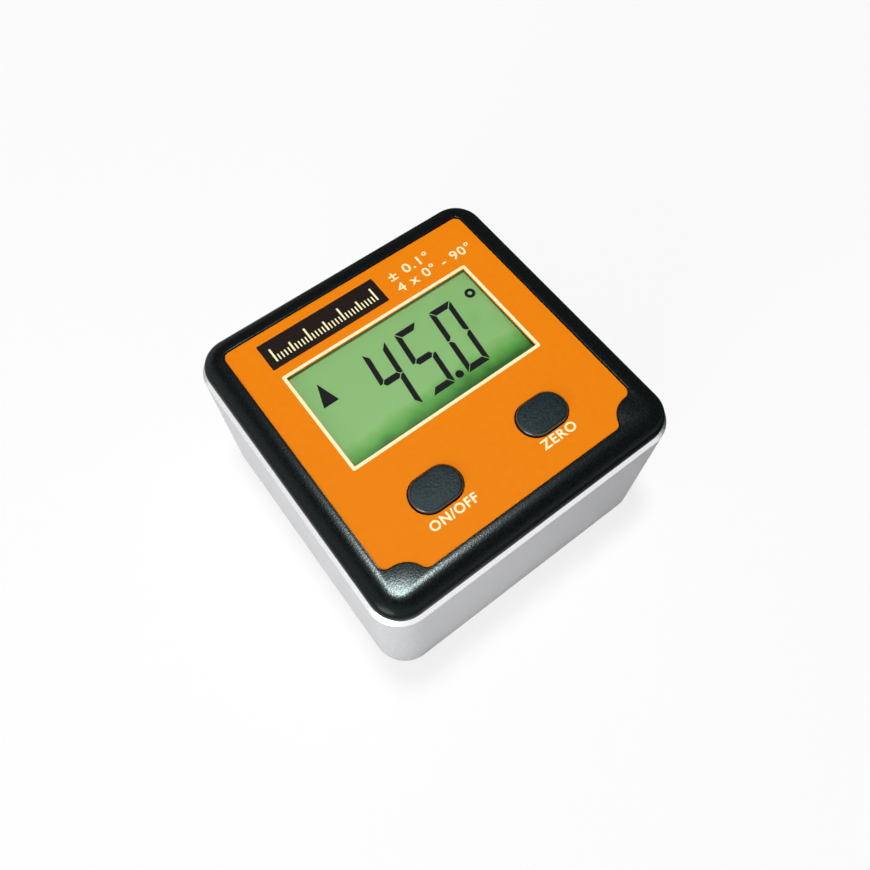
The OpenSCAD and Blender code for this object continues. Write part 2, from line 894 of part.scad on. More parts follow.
body_frame();
front_bezel();
face_label();
display_window();
lcd_glass();
lcd_reflector();
lcd_retainer();
zebra_strip(1);  // zebra_strip_upper
zebra_strip(-1);  // zebra_strip_lower
main_board();
controller_chip();
tilt_sensor();
clock_crystal();
board_capacitors();
button(-1);  // power_button
button(1);  // zero_button
switch_base(-1);  // power_switch_base
switch_base(1);  // zero_switch_base
switch_plunger(-1);  // power_switch_plunger
switch_plunger(1);  // zero_switch_plunger
board_screws();
rear_cover();
case_screws();
battery_cover();
battery_cover_screw();
battery_cell(1);  // battery_cell_1
battery_cell(-1);  // battery_cell_2
battery_contact_positive();
battery_contact_negative();
battery_bridge();
battery_lead(1);  // battery_lead_positive
battery_lead(-1);  // battery_lead_negative
base_magnet(1);  // base_magnet_1
base_magnet(2);  // base_magnet_2
base_magnet(3);  // base_magnet_3
base_magnet(4);  // base_magnet_4
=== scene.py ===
import json
import math

import bmesh
import bpy
from mathutils import Matrix, Vector


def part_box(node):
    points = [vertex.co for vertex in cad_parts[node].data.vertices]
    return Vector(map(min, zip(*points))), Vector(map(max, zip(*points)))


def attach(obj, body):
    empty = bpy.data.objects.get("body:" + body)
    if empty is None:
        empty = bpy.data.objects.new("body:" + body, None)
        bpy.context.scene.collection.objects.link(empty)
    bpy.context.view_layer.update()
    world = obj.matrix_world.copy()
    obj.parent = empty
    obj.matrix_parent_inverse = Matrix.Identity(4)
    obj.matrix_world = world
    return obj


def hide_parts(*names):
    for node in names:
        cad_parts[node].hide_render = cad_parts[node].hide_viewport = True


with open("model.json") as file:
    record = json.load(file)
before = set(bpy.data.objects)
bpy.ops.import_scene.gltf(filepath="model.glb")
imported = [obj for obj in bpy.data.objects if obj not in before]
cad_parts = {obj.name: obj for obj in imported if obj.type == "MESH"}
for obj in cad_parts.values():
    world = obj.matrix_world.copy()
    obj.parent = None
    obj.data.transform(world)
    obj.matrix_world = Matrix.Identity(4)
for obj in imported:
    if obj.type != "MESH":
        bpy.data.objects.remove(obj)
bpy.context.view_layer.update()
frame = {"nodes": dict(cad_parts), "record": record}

mm = 0.001
arcStep = 6.0  # degrees of arc to a side
sharpAngle = 30  # edges that turn by more than this are sharp
mergeGap = 0.0004  # millimetres between points that become one
faceWeight = 80  # how far large faces set the normals of a CAD copy
scene = bpy.context.scene
print("frame loaded:", len(frame["nodes"]), "nodes")


# lengths below are millimetres until a piece is finished

def boxOf(node):
    low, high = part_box(node)
    return low / mm, high / mm


def linear(red, green, blue):
    def one(value):
        share = value / 255
        return share / 12.92 if share <= 0.04045 else ((share + 0.055) / 1.055) ** 2.4
    return (one(red), one(green), one(blue), 1.0)


def traced(bm, outline, z):
    # straight runs are (x, y), arcs are (centre x, centre y, degrees); the last move comes back to the start
    start, moves = outline
    before = set(bm.edges)
    first = bmesh.ops.create_vert(bm, co=(start[0], start[1], z))["vert"][0]
    last = first
    for move in moves:
        if len(move) == 2:
            made = bmesh.ops.extrude_vert_indiv(bm, verts=[last])
            last = made["verts"][0]
            last.co = (move[0], move[1], z)
        else:
            steps = max(2, round(abs(move[2]) / arcStep))
            made = bmesh.ops.spin(bm, geom=[last], cent=(move[0], move[1], z), axis=(0, 0, 1),
                                  angle=math.radians(move[2]), steps=steps, use_merge=False)
            last = [item for item in made["geom_last"] if isinstance(item, bmesh.types.BMVert)][0]
    bmesh.ops.weld_verts(bm, targetmap={last: first})
    return [edge for edge in bm.edges if edge not in before]


def roundRect(width, depth, radius, x=0, y=0):
    halfW, halfD = width / 2, depth / 2
    inW, inD = halfW - radius, halfD - radius
    moves = []
    for corner, run in (((inW, inD), (halfW, inD)), ((-inW, inD), (-inW, halfD)),
                        ((-inW, -inD), (-halfW, -inD)), ((inW, -inD), (inW, -halfD))):
        moves.append((x + run[0], y + run[1]))
        if radius > 0:
            moves.append((x + corner[0], y + corner[1], 90))
    return (x + halfW, y - inD), moves


def ring(radius, x=0, y=0):
    return (x + radius, y), [(x, y, 180), (x, y, 180)]


def polygon(points):
    return points[0], [*points[1:], points[0]]


def bridged(bm, *loops):
    for lower, upper in zip(loops, loops[1:]):
        bmesh.ops.bridge_loops(bm, edges=lower + upper)


def filled(bm, *loops):
    bmesh.ops.triangle_fill(bm, edges=[edge for loop in loops for edge in loop], use_beauty=True)


def slab(bm, outlines, low, high):
    lowers = [traced(bm, outline, low) for outline in outlines]
    uppers = [traced(bm, outline, high) for outline in outlines]
    for lower, upper in zip(lowers, uppers):
        bridged(bm, lower, upper)
    filled(bm, *lowers)
    filled(bm, *uppers)


def finished(name, bm, material, body="housing", nodes=()):
    bmesh.ops.remove_doubles(bm, verts=bm.verts, dist=mergeGap)
    bmesh.ops.recalc_face_normals(bm, faces=bm.faces)
    bmesh.ops.scale(bm, vec=(mm, mm, mm), verts=bm.verts)
    for face in bm.faces:
        face.smooth = True
    mesh = bpy.data.meshes.new(name)
    bm.to_mesh(mesh)
    bm.free()
    stale = mesh.attributes.get("custom_normal")  # a CAD copy brings along the normals of its loose triangles
    if stale:
        mesh.attributes.remove(stale)
    mesh.set_sharp_from_angle(angle=math.radians(sharpAngle))
    mesh.materials.append(material)
    piece = bpy.data.objects.new(name, mesh)
    scene.collection.objects.link(piece)
    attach(piece, body)
    for node in nodes:
        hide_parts(node)
    return piece


def copied(name, node, slot):
    # a merged copy of a CAD node, so that its round faces shade smoothly
    bm = bmesh.new()
    bm.from_mesh(frame["nodes"][node].data)
    bmesh.ops.scale(bm, vec=(1 / mm, 1 / mm, 1 / mm), verts=bm.verts)
    piece = finished(name, bm, materials[slot], nodes=[node])
    weighted = piece.modifiers.new("weighted", "WEIGHTED_NORMAL")
    weighted.keep_sharp = True
    weighted.weight = faceWeight
    return piece


def edged(piece, material, lean, above):
    # a second finish on faces that lean within these limits and lie above a level
    piece.data.materials.append(material)
    for face in piece.data.polygons:
        if lean[0] < face.normal.z < lean[1] and face.center.z > above * mm:
            face.material_index = 1


# node helpers, each giving the output that the next one takes

def newMaterial(name):
    material = bpy.data.materials.new(name)
    material.use_nodes = True
    return material, material.node_tree


def objectPlace(tree):
    return tree.nodes.new("ShaderNodeTexCoord").outputs["Object"]


def noise(tree, place, scale, detail=2, roughness=0.5):
    node = tree.nodes.new("ShaderNodeTexNoise")
    node.inputs["Scale"].default_value = scale
    node.inputs["Detail"].default_value = detail
    node.inputs["Roughness"].default_value = roughness
    tree.links.new(place, node.inputs["Vector"])
    return node.outputs["Fac"]


def mapped(tree, source, to, span=(0, 1)):
    node = tree.nodes.new("ShaderNodeMapRange")
    node.inputs["From Min"].default_value, node.inputs["From Max"].default_value = span
    node.inputs["To Min"].default_value, node.inputs["To Max"].default_value = to
    tree.links.new(source, node.inputs["Value"])
    return node.outputs["Result"]


def reckoned(tree, operation, first, second):
    node = tree.nodes.new("ShaderNodeMath")
    node.operation = operation
    tree.links.new(first, node.inputs[0])
    tree.links.new(second, node.inputs[1])
    return node.outputs["Value"]


def parted(tree, place):
    node = tree.nodes.new("ShaderNodeSeparateXYZ")
    tree.links.new(place, node.inputs["Vector"])
    return node.outputs


def ramped(tree, source, stops):
    node = tree.nodes.new("ShaderNodeValToRGB")
    elements = node.color_ramp.elements
    elements[0].position, elements[0].color = stops[0][0], linear(*stops[0][1])
    elements[1].position, elements[1].color = stops[-1][0], linear(*stops[-1][1])
    for position, colour in stops[1:-1]:
        elements.new(position).color = linear(*colour)
    tree.links.new(source, node.inputs["Fac"])
    return node.outputs["Color"]


def mixed(tree, share, under, over):
    node = tree.nodes.new("ShaderNodeMixShader")
    tree.links.new(share, node.inputs["Fac"])
    tree.links.new(under, node.inputs[1])
    tree.links.new(over, node.inputs[2])
    return node.outputs["Shader"]


# what a finish has unless it says otherwise
plainLook = dict(detail=3, fineness=0.6, darkAt=0.3, lightAt=0.7, metal=0.0, specular=0.4, sheen=(1, 1, 1))


def makeMaterial(name, look):
    look = {**plainLook, **look}
    material, tree = newMaterial(name)
    shader = tree.nodes["Principled BSDF"]
    grain = noise(tree, objectPlace(tree), look["grain"], look["detail"], look["fineness"])
    tint = ramped(tree, grain, ((look["darkAt"], look["dark"]), (look["lightAt"], look["light"])))
    tree.links.new(tint, shader.inputs["Base Color"])
    tree.links.new(mapped(tree, grain, look["rough"]), shader.inputs["Roughness"])
    shader.inputs["Metallic"].default_value = look["metal"]
    shader.inputs["Specular IOR Level"].default_value = look["specular"]
    shader.inputs["Specular Tint"].default_value = (*look["sheen"], 1)
    if "bump" in look:
        bump = tree.nodes.new("ShaderNodeBump")
        bump.inputs["Strength"].default_value = look["bump"]
        bump.inputs["Distance"].default_value = look["relief"] * mm
        tree.links.new(grain, bump.inputs["Height"])
        tree.links.new(bump.outputs["Normal"], shader.inputs["Normal"])
    return material


# finishes by the record's slot; grain is in cells per metre, relief in millimetres
looks = {
    "frame_aluminium": dict(dark=(194, 195, 197), light=(236, 236, 238), rough=(0.4, 0.55), metal=0.4,
                            specular=0.3, grain=4600, bump=0.35, relief=0.02),
    "bezel_plastic": dict(dark=(1, 3, 3), light=(16, 21, 22), rough=(0.17, 0.33), specular=0.17,
                          sheen=(0.82, 1, 0.99), grain=3200, bump=0.7, relief=0.03),
    "label_film": dict(dark=(239, 130, 2), light=(241, 134, 5), rough=(0.55, 0.65), specular=0.03, grain=900),
    "button_plastic": dict(dark=(4, 12, 15), light=(36, 50, 56), rough=(0.3, 0.4), specular=0.06,
                           sheen=(0.8, 1, 1), grain=3200, bump=1.0, relief=0.07),
    "reflector_film": dict(dark=(196, 198, 196), light=(220, 222, 220), rough=(0.25, 0.35), metal=0.6, grain=800),
    "white_plastic": dict(dark=(226, 226, 222), light=(238, 238, 235), rough=(0.4, 0.55), grain=700),
    "strip_rubber": dict(dark=(120, 122, 128), light=(150, 150, 155), rough=(0.6, 0.75), grain=3000),
    "board_laminate": dict(dark=(20, 84, 48), light=(30, 104, 62), rough=(0.3, 0.45), grain=1500),
    "chip_plastic": dict(dark=(24, 24, 26), light=(36, 36, 39), rough=(0.5, 0.65), grain=4000),
    "bright_steel": dict(dark=(176, 178, 182), light=(202, 204, 208), rough=(0.22, 0.36), metal=1.0, grain=2500),
    "ceramic": dict(dark=(168, 138, 104), light=(188, 158, 122), rough=(0.4, 0.55), grain=2500),
    "switch_plastic": dict(dark=(38, 38, 41), light=(54, 54, 58), rough=(0.4, 0.55), grain=2500),
    "cover_plastic": dict(dark=(18, 21, 22), light=(31, 35, 36), rough=(0.4, 0.55), specular=0.25, grain=3800,
                          bump=0.4, relief=0.03),
    "cell_wrap": dict(dark=(52, 92, 140), light=(66, 108, 158), rough=(0.3, 0.4), grain=500),
    "contact_brass": dict(dark=(190, 160, 88), light=(214, 184, 110), rough=(0.25, 0.4), metal=1.0, grain=2000),
    "lead_red": dict(dark=(160, 22, 20), light=(186, 34, 30), rough=(0.4, 0.5), grain=1500),
    "lead_black": dict(dark=(18, 18, 19), light=(32, 32, 34), rough=(0.4, 0.5), grain=1500),
    "magnet_nickel": dict(dark=(182, 182, 178), light=(208, 208, 203), rough=(0.18, 0.3), metal=1.0, grain=1800),
}
# inks and edges that share a slot with the piece they are on
extraLooks = {
    "creamInk": dict(dark=(251, 240, 186), light=(254, 246, 198), rough=(0.5, 0.6), specular=0.15, grain=1500),
    "blackInk": dict(dark=(24, 15, 11), light=(34, 24, 18), rough=(0.45, 0.55), specular=0.04, grain=1800),
    "segmentInk": dict(dark=(16, 12, 20), light=(24, 19, 28), rough=(0.5, 0.6), specular=0.04, grain=1500),
    # rimChamferHighlight: painted highlight, a brighter copy of the aluminium, fully metallic and glossier, for the
    # chamfer's white band
    "rimChamferHighlight": dict(dark=(240, 241, 243), light=(250, 250, 251), rough=(0.2, 0.32), metal=1.0, grain=2600),
    "capEdge": dict(dark=(9, 19, 23), light=(27, 40, 45), rough=(0.16, 0.26), specular=1.0, grain=3200, bump=0.4,
                    relief=0.03),
}
materials = {name: makeMaterial(name, look) for name, look in {**looks, **extraLooks}.items()}
print("materials made:", len(materials))

# the aluminium frame, with a painted highlight on the rim's chamfer in a brighter, glossier copy of the metal, and
# what is screwed to its back
rim = dict(lean=(0.5, 0.9), depth=1)
frameHigh = boxOf("body_frame")[1]
edged(copied("caseFrame", "body_frame", "frame_aluminium"), materials["rimChamferHighlight"], rim["lean"],
      frameHigh.z - rim["depth"])
copied("rearCover", "rear_cover", "cover_plastic")
copied("batteryCover", "battery_cover", "cover_plastic")
copied("caseScrews", "case_screws", "bright_steel")
copied("batteryCoverScrew", "battery_cover_screw", "bright_steel")
print("case copied")

# the face, from the frame's boxes
bezelLow, bezelHigh = boxOf("front_bezel")
labelLow, labelHigh = boxOf("face_label")
windowLow, windowHigh = boxOf("display_window")
glassLow, glassHigh = boxOf("lcd_glass")
windowY = (windowLow.y + windowHigh.y) / 2
window = dict(lap=2.6, corner=1.35, seatCorner=1.5, under=0.01, clear=(0.97, 0.98, 0.97), shine=(0.5, 0.5, 0.5),
              rough=(0.06, 0.12), ripple=120, blend=0.12)
windowW, windowH = windowHigh.x - windowLow.x, windowHigh.y - windowLow.y
clearW, clearH = windowW - 2 * window["lap"], windowH - 2 * window["lap"]
label = dict(corner=1.4, lobe=4.32, inset=1.4, drop=0.8, fit=0.15, windowCorner=0.2, soft=0.05)
labelHalf = labelHigh.x
labelY = (labelLow.y + labelHigh.y) / 2
lobeAt = Vector((labelHalf - label["inset"], -labelHalf - label["drop"]))
reach = label["lobe"] + label["corner"]
tipIn = labelHalf - label["corner"]
sideTipY = lobeAt.y + math.sqrt(reach ** 2 - (tipIn - lobeAt.x) ** 2)
lowTipX = lobeAt.x - math.sqrt(reach ** 2 - (-tipIn - lobeAt.y) ** 2)
lowTurn = math.degrees(math.atan2(-tipIn - lobeAt.y, lobeAt.x - lowTipX))
sideTurn = math.degrees(math.atan2(sideTipY - lobeAt.y, lobeAt.x - tipIn))


def labelOutline(gap):
    # the notches run round the bezel's lobes, between two round tips each
    half = labelHalf + gap
    moves = [(half, tipIn), (tipIn, tipIn, 90), (-tipIn, half), (-tipIn, tipIn, 90), (-half, sideTipY),
             (-tipIn, sideTipY, sideTurn), (-lobeAt.x, lobeAt.y, lowTurn - sideTurn),
             (-lowTipX, -tipIn, 90 - lowTurn), (lowTipX, -half), (lowTipX, -tipIn, 90 - lowTurn),
             (lobeAt.x, lobeAt.y, lowTurn - sideTurn), (tipIn, sideTipY, sideTurn)]
    return (half, sideTipY + labelY), [(move[0], move[1] + labelY, *move[2:]) for move in moves]


button = dict(width=9.2, height=6.4, corner=3.1, edge=0.5, steps=8, hole=0.2, label=0.2, flange=1.2,
              flangeThick=0.8, stem=2.0, split=0.005, lean=(0.05, 0.95))
buttonBoxes = {side: boxOf(side + "_button") for side in ("power", "zero")}
buttonAt = {side: ((low.x + high.x) / 2, (low.y + high.y) / 2) for side, (low, high) in buttonBoxes.items()}


def buttonOutline(side, gap):
    x, y = buttonAt[side]
    return roundRect(button["width"] + 2 * gap, button["height"] + 2 * gap, button["corner"] + gap, x, y)


bezel = dict(footCorner=5.35, edge=2.0, crown=4.5, meet=math.atan2(4, 3), steps=8, lip=0.1, lipSteps=4, plate=31.0,
             skirtW=52.7, skirtD=51.7, skirtCorner=2.35, skirtWall=1.4, skirtDrop=2.6, shift=0.5, postUnder=0.01)
posts = dict(case=dict(x=22.7, y=22.2, middle=bezel["shift"], low=bezelLow.z, radius=3.2, bore=1.4),
             board=dict(x=22.55, y=7, middle=windowY, low=27.0, radius=1.9, bore=1.0))


def makeBezel():
    bm = bmesh.new()
    rimZ, top, plate = frameHigh.z, bezelHigh.z, bezel["plate"]
    foot, edge, crown, meet = bezelHigh.x, bezel["edge"], bezel["crown"], bezel["meet"]
    spread = crown - edge
    # the tight round at the side runs into the wide one above it
    rounds = [(edge, edge, top - crown + spread * math.sin(meet), 0, meet),
              (crown, edge + spread * math.cos(meet), top - crown, meet, math.pi / 2)]
    loops = [traced(bm, roundRect(2 * foot, 2 * foot, bezel["footCorner"]), rimZ)]
    for radius, inward, level, begin, end in rounds:
        for step in range(1 if begin else 0, bezel["steps"] + 1):
            turn = begin + (end - begin) * step / bezel["steps"]
            inset = inward - radius * math.cos(turn)
            side = 2 * (foot - inset)
            loops.append(traced(bm, roundRect(side, side, bezel["footCorner"] - inset),
                                level + radius * math.sin(turn)))
    bridged(bm, *loops)
    # recess with a softened lip, then the seat of the window and the holes under it
    fit, lip = label["fit"], bezel["lip"]
    lipLoops = []
    for step in range(bezel["lipSteps"] + 1):
        turn = math.pi / 2 * step / bezel["lipSteps"]
        lipLoops.append(traced(bm, labelOutline(fit + lip * (1 - math.sin(turn))), top - lip * (1 - math.cos(turn))))
    recess = traced(bm, labelOutline(fit), labelLow.z)
    filled(bm, loops[-1], lipLoops[0])
    bridged(bm, *lipLoops, recess)
    holeW, holeH = glassHigh.x - glassLow.x + 2 * fit, glassHigh.y - glassLow.y + 2 * fit
    seat = [traced(bm, roundRect(windowW + 2 * fit, windowH + 2 * fit, window["seatCorner"], 0, windowY), z)
            for z in (labelLow.z, windowLow.z)]
    hole = [traced(bm, roundRect(holeW, holeH, 0, 0, windowY), z) for z in (windowLow.z, plate)]
    keys = [[traced(bm, buttonOutline(side, button["hole"]), z) for z in (labelLow.z, plate)] for side in buttonAt]
    filled(bm, recess, seat[0], *[key[0] for key in keys])
    filled(bm, seat[1], hole[0])
    for pair in (seat, hole, *keys):
        bridged(bm, *pair)
    # underside: the skirt that plugs into the frame, and the posts for the case's and the board's screws
    outW, outD, wall, shift = bezel["skirtW"], bezel["skirtD"], bezel["skirtWall"], bezel["shift"]
    skirtLow = rimZ - bezel["skirtDrop"]
    skirtOut = [traced(bm, roundRect(outW, outD, bezel["skirtCorner"], 0, shift), z) for z in (rimZ, skirtLow)]
    skirtIn = [traced(bm, roundRect(outW - 2 * wall, outD - 2 * wall, 0, 0, shift), z) for z in (skirtLow, plate)]
    filled(bm, loops[0], skirtOut[0])
    bridged(bm, *skirtOut)
    filled(bm, skirtOut[1], skirtIn[0])
    bridged(bm, *skirtIn)
    filled(bm, skirtIn[1], hole[1], *[key[1] for key in keys])
    for post in posts.values():
        for x in (-post["x"], post["x"]):
            for y in (post["middle"] - post["y"], post["middle"] + post["y"]):
                slab(bm, [ring(post["radius"], x, y), ring(post["bore"], x, y)], post["low"],
                     plate - bezel["postUnder"])
    return finished("frontBezel", bm, materials["bezel_plastic"], nodes=["front_bezel"])


makeBezel()


def makeLabel():
    bm = bmesh.new()
    gaps = (0, 0, label["soft"])
    outlines = [[labelOutline(-gap) for gap in gaps],
                [roundRect(clearW + 2 * gap, clearH + 2 * gap, label["windowCorner"] + gap, 0, windowY)
                 for gap in gaps]]
    outlines += [[buttonOutline(side, button["label"] + gap) for gap in gaps] for side in buttonAt]
    levels = (labelLow.z, labelHigh.z - label["soft"], labelHigh.z)
    stacks = [[traced(bm, outline, z) for outline, z in zip(three, levels)] for three in outlines]
    for stack in stacks:
        bridged(bm, *stack)
    filled(bm, *[stack[0] for stack in stacks])
    filled(bm, *[stack[2] for stack in stacks])
    return finished("faceLabel", bm, materials["label_film"], nodes=["face_label"])


makeLabel()


def makeClear():
    # light goes straight through, with a reflection that grows towards grazing angles
    material, tree = newMaterial("windowClear")
    nodes = tree.nodes
    nodes.remove(nodes["Principled BSDF"])
    clear = nodes.new("ShaderNodeBsdfTransparent")
    clear.inputs["Color"].default_value = (*window["clear"], 1)
    shine = nodes.new("ShaderNodeBsdfGlossy")
    shine.inputs["Color"].default_value = (*window["shine"], 1)
    ripple = noise(tree, objectPlace(tree), window["ripple"])
    tree.links.new(mapped(tree, ripple, window["rough"]), shine.inputs["Roughness"])
    facing = nodes.new("ShaderNodeLayerWeight")
    facing.inputs["Blend"].default_value = window["blend"]
    surface = mixed(tree, facing.outputs["Facing"], clear.outputs["BSDF"], shine.outputs["BSDF"])
    tree.links.new(surface, nodes["Material Output"].inputs["Surface"])
    return material


def makeWindow():
    bm = bmesh.new()
    slab(bm, [roundRect(windowW, windowH, window["corner"], 0, windowY)], windowLow.z,
         windowHigh.z - window["under"])
    return finished("displayWindow", bm, makeClear(), nodes=["display_window"])


makeWindow()

# shadeRise and across set painted shade: the green darkens over the lowest millimetres of the window and towards the
# right
display = dict(sheet=1.0, ledge=2.6, inkDepth=0.04, ink=0.02, split=0.005, cloud=220, cloudDetail=4, wave=0.28,
               shadeRise=5.8, across=(0.22, -0.1), rough=0.45, specular=0.1,
               stops=((0.1, (40, 108, 28)), (0.42, (94, 168, 71)), (0.72, (133, 194, 104)), (0.95, (154, 205, 129))))


def makeGreen():
    # green with painted shade that darkens it unevenly towards the lower edge, most of all at the lower right,
    # standing in for the shadow of the window's lower edge
    material, tree = newMaterial("displayGreen")
    shader = tree.nodes["Principled BSDF"]
    place = objectPlace(tree)
    axes = parted(tree, place)
    low = windowY - clearH / 2
    shadeRise = mapped(tree, axes["Y"], (0, 1), (low * mm, (low + display["shadeRise"]) * mm))
    across = mapped(tree, axes["X"], display["across"], (-clearW / 2 * mm, clearW / 2 * mm))
    cloud = noise(tree, place, display["cloud"], display["cloudDetail"])
    wave = mapped(tree, cloud, (-display["wave"], display["wave"]))
    level = reckoned(tree, "ADD", reckoned(tree, "ADD", shadeRise, across), wave)
    tree.links.new(ramped(tree, level, display["stops"]), shader.inputs["Base Color"])
    shader.inputs["Roughness"].default_value = display["rough"]
    shader.inputs["Specular IOR Level"].default_value = display["specular"]
    return material


def makeGlassPair():
    bm = bmesh.new()
    width, height = glassHigh.x - glassLow.x, glassHigh.y - glassLow.y
    middle = glassHigh.z - display["sheet"]
    slab(bm, [roundRect(width, height, 0, 0, windowY)], middle, glassHigh.z - display["inkDepth"])
    slab(bm, [roundRect(width, height - 2 * display["ledge"], 0, 0, windowY)], glassLow.z, middle - display["split"])
    return finished("displayGlass", bm, makeGreen(), nodes=["lcd_glass"])


makeGlassPair()
print("face made")

digits = dict(low=-2.2, height=13.8, width=4.7, slant=7.0, bar=1.25, upright=1.0, gap=0.1, mitre=1.4,
              starts=((-7.7, "fgbc"), (-0.9, "afgcd"), (6.6, "abcdef")), dotAt=(5.2, -1.4), dotR=0.75,
              degreeAt=(16.9, 10.6), degreeR=(1.0, 0.4), arrow=((-16.8, 6.9), (-13.8, 6.9), (-15.25, 11.5)))


def segmentPoints(key):
    w, h, bar, up, gap = (digits[part] for part in ("width", "height", "bar", "upright", "gap"))
    mid = h / 2
    corner = gap * digits["mitre"]
    shapes = {
        "a": [(corner, h), (w - corner, h), (w - up - gap, h - bar), (up + gap, h - bar)],
        "f": [(0, h - corner), (up, h - bar - gap), (up, mid + bar / 2 + gap), (up / 2, mid + gap), (0, mid + gap)],
        "g": [(up / 2 + gap, mid), (up + gap, mid + bar / 2), (w - up - gap, mid + bar / 2),
              (w - up / 2 - gap, mid), (w - up - gap, mid - bar / 2), (up + gap, mid - bar / 2)],
    }
    flips = {"b": ("f", True, False), "c": ("f", True, True), "e": ("f", False, True), "d": ("a", False, True)}
    base, overX, overY = flips.get(key, (key, False, False))
    return [(w - x if overX else x, h - y if overY else y) for x, y in shapes[base]]


def makeDigits():
    bm = bmesh.new()
    low = glassHigh.z - display["inkDepth"]
    lean = math.tan(math.radians(digits["slant"]))
    dotX, dotY = digits["dotAt"]
    degreeX, degreeY = digits["degreeAt"]
    signs = [[polygon([(start + x + lean * y, labelY + digits["low"] + y) for x, y in segmentPoints(key)])]
             for start, keys in digits["starts"] for key in keys]
    signs.append([ring(digits["dotR"], dotX, labelY + dotY)])
    signs.append([ring(radius, degreeX, labelY + degreeY) for radius in digits["degreeR"]])
    signs.append([polygon([(x, labelY + y) for x, y in digits["arrow"]])])
    for outlines in signs:
        slab(bm, outlines, low, low + display["ink"])
    return finished("displayDigits", bm, materials["segmentInk"])


makeDigits()

printing = dict(thick=0.012, lift=0.002, border=0.65, borderCorner=0.4, inside=0.06, insideCorner=0.26,
                plateLow=(-19.8, 17.5), plateHigh=(4.25, 23.25), plateCorner=0.25)
ticks = dict(count=31, side=1.6, low=1.2, tall=(2.9, 2.1, 1.3), wide=(0.34, 0.24))


def makePrint():
    low, high = labelHigh.z + printing["lift"], labelHigh.z + printing["thick"]
    border, inside = printing["border"], printing["inside"]
    bm = bmesh.new()
    slab(bm, [roundRect(clearW + 2 * border, clearH + 2 * border, printing["borderCorner"], 0, windowY),
              roundRect(clearW + 2 * inside, clearH + 2 * inside, printing["insideCorner"], 0, windowY)], low, high)
    finished("windowBorder", bm, materials["creamInk"])
    bm = bmesh.new()
    (x0, y0), (x1, y1) = [(x, labelY + y) for x, y in (printing["plateLow"], printing["plateHigh"])]
    slab(bm, [roundRect(x1 - x0, y1 - y0, printing["plateCorner"], (x0 + x1) / 2, (y0 + y1) / 2)], low, high)
    finished("headerPlate", bm, materials["blackInk"])
    bm = bmesh.new()
    for index in range(ticks["count"]):
        tall = ticks["tall"][0 if index % 10 == 0 else 1 if index % 5 == 0 else 2]
        wide = ticks["wide"][0 if index % 5 == 0 else 1]
        x = x0 + ticks["side"] + (x1 - x0 - 2 * ticks["side"]) * index / (ticks["count"] - 1)
        slab(bm, [roundRect(wide, tall, 0, x, y0 + ticks["low"] + tall / 2)], high, high + printing["thick"])
    finished("headerTicks", bm, materials["creamInk"])


makePrint()

wording = dict(space=1.12, resolution=6, rawDepth=0.5)
# words, centre, width and height in millimetres, stroke weight
marks = {
    "powerWords": ("ON/OFF", (-10.95, -20.6), 9.0, 1.75, 0.028),
    "zeroWords": ("ZERO", (10.6, -20.4), 7.0, 1.75, 0.025),
    "stepWords": ("± 0.1°", (11.2, 21.4), 8.8, 2.1, 0.013),
    "rangeWords": ("4 x 0° - 90°", (14.9, 18.5), 16.2, 2.1, 0.013),
}


def makeText(name, words, centre, width, height, weight):
    curve = bpy.data.curves.new(name, "FONT")
    curve.body = words
    curve.align_x, curve.align_y = "CENTER", "CENTER"
    curve.offset = weight
    curve.space_character = wording["space"]
    curve.extrude = wording["rawDepth"]
    curve.resolution_u = wording["resolution"]
    holder = bpy.data.objects.new(name + "Curve", curve)
    scene.collection.objects.link(holder)
    bpy.context.view_layer.update()
    mesh = bpy.data.meshes.new_from_object(holder.evaluated_get(bpy.context.evaluated_depsgraph_get()))
    bpy.data.objects.remove(holder)
    bpy.data.curves.remove(curve)
    spots = [vertex.co for vertex in mesh.vertices]
    low = Vector([min(spot[axis] for spot in spots) for axis in range(3)])
    high = Vector([max(spot[axis] for spot in spots) for axis in range(3)])
    thick = printing["thick"]
    grow = Matrix.Diagonal((width / (high.x - low.x), height / (high.y - low.y), thick / (high.z - low.z), 1))
    lift = Matrix.Translation((centre[0], labelY + centre[1], labelHigh.z + printing["lift"] + thick / 2))
    mesh.transform(lift @ grow @ Matrix.Translation(-(low + high) / 2))
    bm = bmesh.new()
    bm.from_mesh(mesh)
    bpy.data.meshes.remove(mesh)
    return finished(name, bm, materials["creamInk"])


for name, mark in marks.items():
    makeText(name, *mark)
print("print made")


def makeButton(side):
    bm = bmesh.new()
    low, high = buttonBoxes[side]
    x, y = buttonAt[side]
    edge, split = button["edge"], button["split"]
    flangeTop = bezel["plate"]
    flangeLow = flangeTop - button["flangeThick"]
    loops = [traced(bm, buttonOutline(side, 0), flangeTop + split)]
    for step in range(button["steps"] + 1):
        turn = math.pi / 2 * step / button["steps"]
        loops.append(traced(bm, buttonOutline(side, -edge * (1 - math.cos(turn))),
                            high.z - edge + edge * math.sin(turn)))
    bridged(bm, *loops)
    filled(bm, loops[0])
    filled(bm, loops[-1])
    slab(bm, [buttonOutline(side, button["flange"])], flangeLow, flangeTop)
    slab(bm, [ring(button["stem"], x, y)], low.z, flangeLow - split)
    cap = finished(side + "Cap", bm, materials["button_plastic"], side + "_button_cap",
                   [side + "_button"])
    edged(cap, materials["capEdge"], button["lean"], high.z - edge)
    return cap


for side in buttonAt:
    makeButton(side)

# what stays as the CAD has it
for row in frame["record"]["subparts"]:
    node = frame["nodes"][row["node"]]
    if not node.hide_render:
        node.data.materials.clear()
        node.data.materials.append(materials[row["material_slot"]])
print("buttons and inner nodes dressed")

# stage: white floor that keeps a soft shadow round the case and is plain white further out, in metres
# dim and dimAcross paint the floor dark in reflections only, darkest at the right: a painted dark reflection
floor = dict(radius=3.0, drop=0.00005, sides=96, white=0.95, glow=(0.72, 1), fade=(0.12, 0.5),
             dim=(0.55, 0.06), dimAcross=(-0.01, 0.05))


